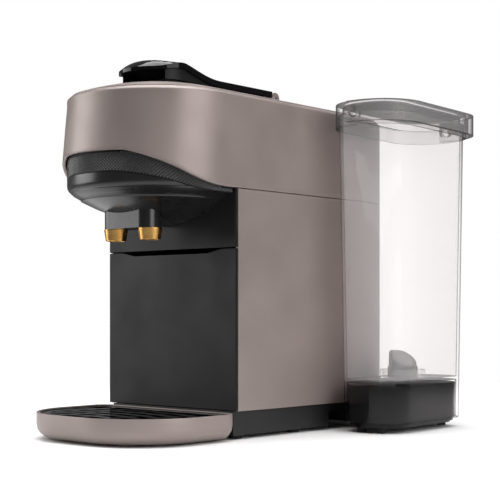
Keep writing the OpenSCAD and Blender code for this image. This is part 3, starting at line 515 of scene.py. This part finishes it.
def sliced(bm, axis, start, stop, step):
    """Cuts edges across a mesh at even distances along x (0) or y (1), so that it can bend."""
    for i in range(int((stop - start) / step) + 1):
        at, facing = [0, 0, 0], [0, 0, 0]
        at[axis], facing[axis] = (start + i * step) * MM, 1
        everything = bm.verts[:] + bm.edges[:] + bm.faces[:]
        bmesh.ops.bisect_plane(bm, geom=everything, plane_co=at, plane_no=facing)


def drooped(bm):
    """Rounds the lever's nose over: its rim falls away from the crest towards the front."""
    sliced(bm, 0, -28, 28, 4)
    sliced(bm, 1, -193, -137, 4)
    centre_y = LEVER_NOSE + LEVER_R
    flat_r = 14.0               # the middle of the nose that stays level
    start_y, run = centre_y + 4, 26.0
    for vert in bm.verts:
        x, y, z = vert.co / MM
        out = max(0.0, math.hypot(x, min(0.0, y - centre_y)) - flat_r) / (LEVER_R - flat_r)
        front = max(0.0, min(1.0, (start_y - y) / run))
        lift = max(0.0, (z - PLATE_Z) / (LEVER_TOP - PLATE_Z))
        vert.co.z -= LEVER_DROOP * MM * out ** 2 * front * front * (3 - 2 * front) * lift
    return bm


LEVER_PARTS = ("lever_plate", "lever_liner")
for name in LEVER_PARTS:
    finish, slot, width = PARTS[name]
    obj = rounded(mesh_object(name + "_part", drooped(copy_of(name)), PART_SHARP), width, 3)
    finished(obj, finish, "lever", name, slot=slot)
for name, (finish, slot, width) in PARTS.items():
    if name in LEVER_PARTS:
        continue
    obj = mesh_object(name + "_part", copy_of(name), PART_SHARP)
    if width:
        rounded(obj, width)
    body = frame["nodes"][name].parent.name.replace("body:", "")
    finished(obj, finish, body, name, slot=slot)

# ---------- room, light and camera ----------

floor_mesh = bmesh.new()
bmesh.ops.create_grid(floor_mesh, x_segments=2, y_segments=2, size=8.0)
floor = mesh_object("floor", floor_mesh, PART_SHARP)
paper, tree, matt = principled("white_sweep", Base_Color=colour("#FAFAFA"), Roughness=0.8,
                               Specular_IOR_Level=0.1)
# near the machine the paper takes its shadow; farther out it is lit as evenly as the wall behind
spot = add(tree, "ShaderNodeTexCoord")
away = add(tree, "ShaderNodeVectorMath", None, {0: (spot, "Object")}, operation="LENGTH")
far = add(tree, "ShaderNodeMapRange", {"From Min": 0.30, "From Max": 0.75}, {"Value": (away, "Value")},
          interpolation_type="SMOOTHSTEP")
ray = add(tree, "ShaderNodeLightPath")
level = add(tree, "ShaderNodeMapRange", {"To Min": 0.2, "To Max": 1.0}, {"Value": (ray, "Is Camera Ray")})
lit = add(tree, "ShaderNodeEmission", None, {"Strength": (level, "Result")})
sweep = add(tree, "ShaderNodeMixShader", None,
            {"Fac": (far, "Result"), 1: (matt, "BSDF"), 2: (lit, "Emission")})
tree.links.new(sweep.outputs["Shader"], tree.nodes["Material Output"].inputs["Surface"])
floor.data.materials.append(paper)

# the wall behind is white to the camera and dim to everything else, so that the softboxes do the lighting
world = bpy.data.worlds.new("studio")
bpy.context.scene.world = world
world.use_nodes = True
sky = world.node_tree
sky.nodes.clear()
ray = add(sky, "ShaderNodeLightPath")
strength = add(sky, "ShaderNodeMapRange", {"To Min": 0.16, "To Max": 1.0}, {"Value": (ray, "Is Camera Ray")})
sphere = add(sky, "ShaderNodeBackground", {"Color": colour("#FFFFFF")}, {"Strength": (strength, "Result")})
add(sky, "ShaderNodeOutputWorld", None, {"Surface": (sphere, "Background")})


def softbox(name, at, to, width, height, power):
    """A rectangular studio light, aimed at a point."""
    light = bpy.data.lights.new(name, "AREA")
    light.shape = "RECTANGLE"
    light.size, light.size_y = width, height
    light.energy = power
    obj = bpy.data.objects.new(name, light)
    obj.location = at
    obj.rotation_euler = (Vector(to) - Vector(at)).to_track_quat("-Z", "Y").to_euler()
    bpy.context.scene.collection.objects.link(obj)


# the lights aim at the machine's middle and at its right side
MIDDLE = (0.0, -0.05, 0.14)
RIGHT_SIDE = (0.07, -0.12, 0.14)
softbox("left_softbox", (-1.05, -0.85, 0.45), MIDDLE, 0.8, 1.3, 12)
softbox("right_softbox", (1.20, -0.10, 0.45), RIGHT_SIDE, 0.8, 1.2, 10)
softbox("top_softbox", (0.0, -0.1, 1.5), MIDDLE, 1.6, 1.6, 34)

# a long lens, level, with its frame shifted up instead of its axis tilted, so that uprights stay upright
camera = bpy.data.cameras.new("camera")
camera.lens = 89
camera.sensor_width = 36
camera.shift_y = 0.124
camera.clip_end = 50
camera_object = bpy.data.objects.new("camera", camera)
camera_object.location = (0.6754, -0.8150, 0.0935)
camera_object.rotation_euler = (math.radians(90), 0, math.radians(41.9))
bpy.context.scene.collection.objects.link(camera_object)
bpy.context.scene.camera = camera_object
bpy.context.scene.view_settings.view_transform = "Standard"
